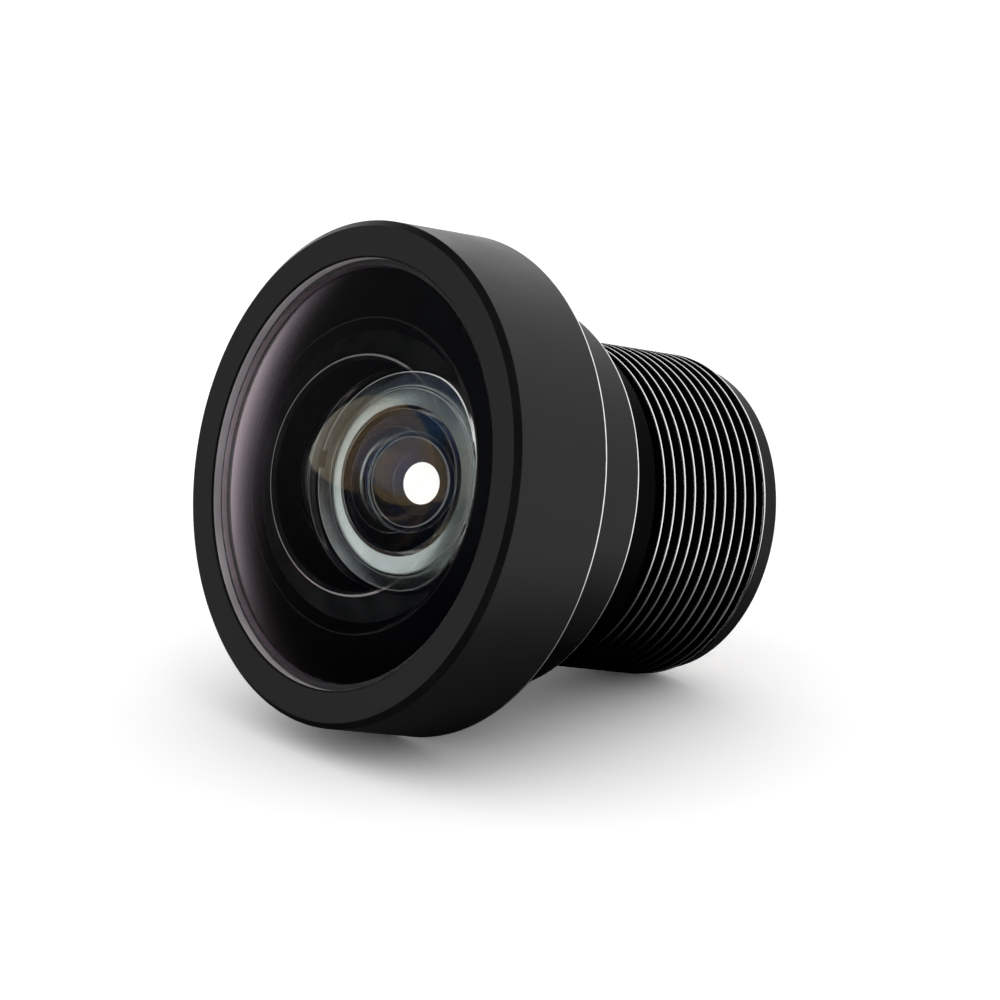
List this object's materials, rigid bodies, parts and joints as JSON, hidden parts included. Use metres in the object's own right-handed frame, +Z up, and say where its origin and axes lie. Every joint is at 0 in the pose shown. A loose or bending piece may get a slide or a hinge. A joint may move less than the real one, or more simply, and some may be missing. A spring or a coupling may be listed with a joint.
{
  "type": "board camera lens",
  "caption": "Wide-angle board camera lens with a domed front glass, a wide front ring, a seating shoulder and an M12 mounting thread.",
  "frame": {"origin": "where the optical axis meets the rear face of the shoulder, the seat of the M12 thread", "axes": "+Z up from the surface that the lens lies on; +Y level, from the front glass towards the threaded rear, with the optical axis dipping 16.1 degrees below it; +X to the right when looking along +Y"},
  "size_m": [0.0182, 0.0192, 0.0185],
  "materials": {
    "cap_ring_metal": "black anodised, satin",
    "barrel_metal": "black anodised, satin",
    "inner_metal": "black anodised, matte",
    "seal_rubber": "matte",
    "foil_film": "matte black",
    "front_glass": "polished, anti-reflection coated",
    "inner_glass": "polished, anti-reflection coated",
    "filter_glass": "polished, infrared-cut coated"
  },
  "bodies": {
    "root": {"front_cap_ring": "cap_ring_metal", "barrel": "barrel_metal", "seal_ring": "seal_rubber", "first_lens": "front_glass", "inner_retaining_ring": "inner_metal", "front_glare_foil": "foil_film", "second_lens": "inner_glass", "second_spacer": "inner_metal", "third_lens": "inner_glass", "stop_spacer": "inner_metal", "aperture_stop": "foil_film", "fourth_lens": "inner_glass", "fourth_holder": "inner_metal", "fifth_lens": "inner_glass", "middle_glare_foil": "foil_film", "fifth_spacer": "inner_metal", "sixth_lens": "inner_glass", "sixth_spacer": "inner_metal", "seventh_lens": "inner_glass", "rear_glare_foil": "foil_film", "infrared_filter": "filter_glass"}
  },
  "joints": []
}
